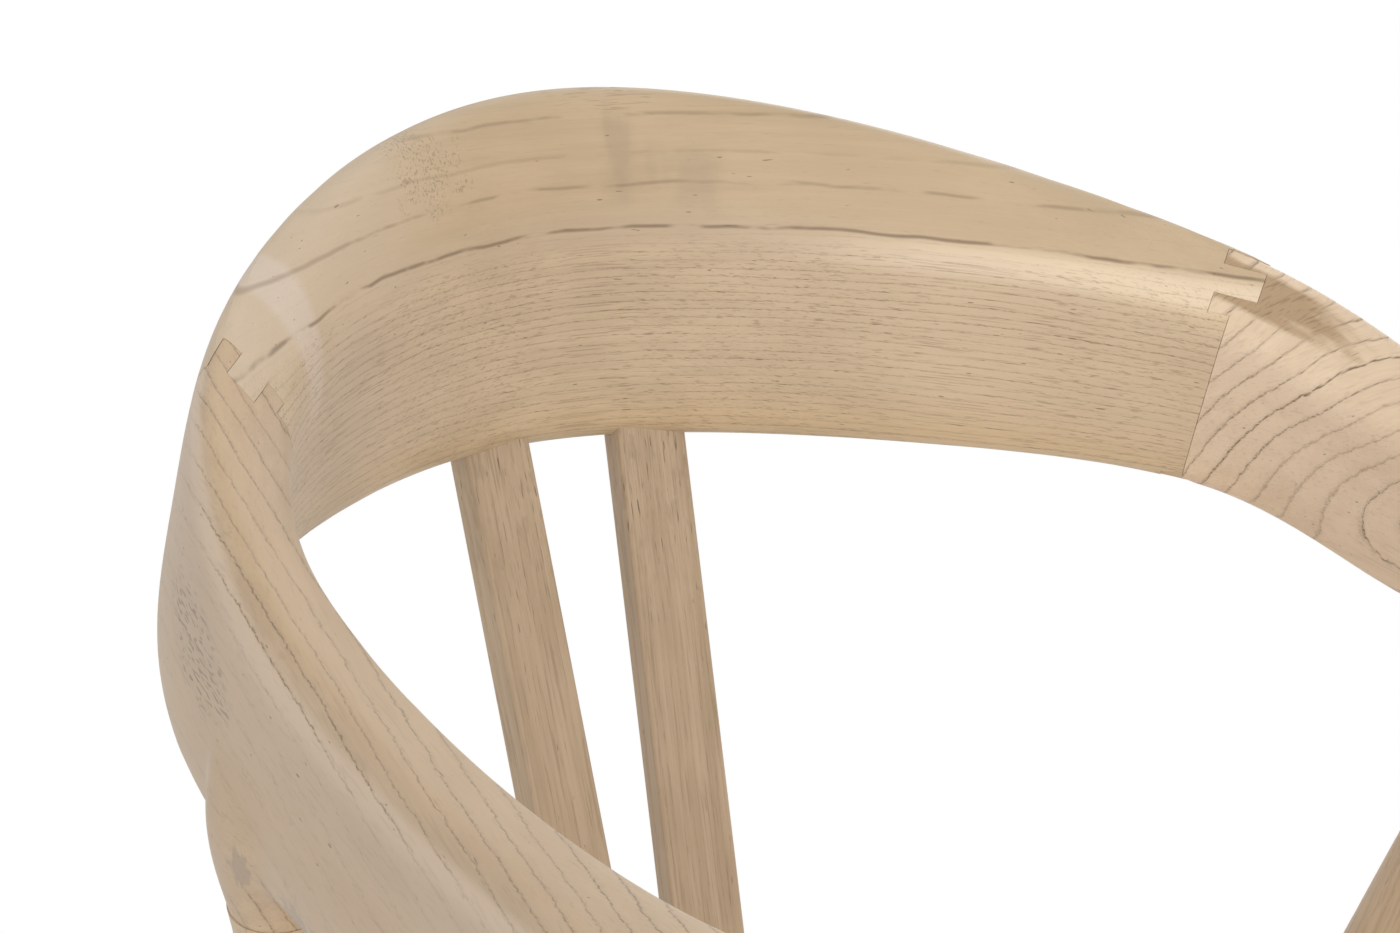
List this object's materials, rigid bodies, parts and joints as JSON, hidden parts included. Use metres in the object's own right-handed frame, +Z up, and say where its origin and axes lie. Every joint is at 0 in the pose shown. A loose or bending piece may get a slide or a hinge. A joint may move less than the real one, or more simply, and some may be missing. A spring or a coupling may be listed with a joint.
{
  "type": "horseshoe back armchair",
  "caption": "Low-backed wooden armchair whose curved crest and forward-reaching arms form one horseshoe over a wooden seat, with upright back slats and swept rear legs",
  "frame": {"origin": "on the floor, under the middle of the chair's bounding box", "axes": "+Z up, -Y the way the chair faces, +X towards the chair's right side as seen from its front"},
  "size_m": [0.5752, 0.524, 0.7997],
  "materials": {
    "crest_wood": "bleached, matte",
    "arm_wood": "bleached, matte",
    "slat_wood": "bleached, matte",
    "seat_wood": "bleached, matte",
    "frame_wood": "bleached, matte",
    "inner_wood": "raw, matte",
    "screw_steel": "satin",
    "glide_plastic": "matte"
  },
  "bodies": {
    "root": {"arm_dowel_left": "inner_wood", "arm_dowel_right": "inner_wood", "arm_left": "arm_wood", "arm_right": "arm_wood", "back_slat_left": "slat_wood", "back_slat_right": "slat_wood", "batten_screws": "screw_steel", "corner_block_front_left": "inner_wood", "corner_block_front_right": "inner_wood", "corner_block_rear_left": "inner_wood", "corner_block_rear_right": "inner_wood", "corner_block_screws": "screw_steel", "crest_rail": "crest_wood", "front_leg_left": "frame_wood", "front_leg_right": "frame_wood", "glide_front_left": "glide_plastic", "glide_front_right": "glide_plastic", "glide_rear_left": "glide_plastic", "glide_rear_right": "glide_plastic", "panel_batten_left": "inner_wood", "panel_batten_right": "inner_wood", "rear_leg_left": "frame_wood", "rear_leg_right": "frame_wood", "seat_panel": "seat_wood", "seat_rail_front": "frame_wood", "seat_rail_left": "frame_wood", "seat_rail_rear": "frame_wood", "seat_rail_right": "frame_wood", "stretcher_front": "frame_wood", "stretcher_left": "frame_wood", "stretcher_rear": "frame_wood", "stretcher_right": "frame_wood"}
  },
  "joints": []
}
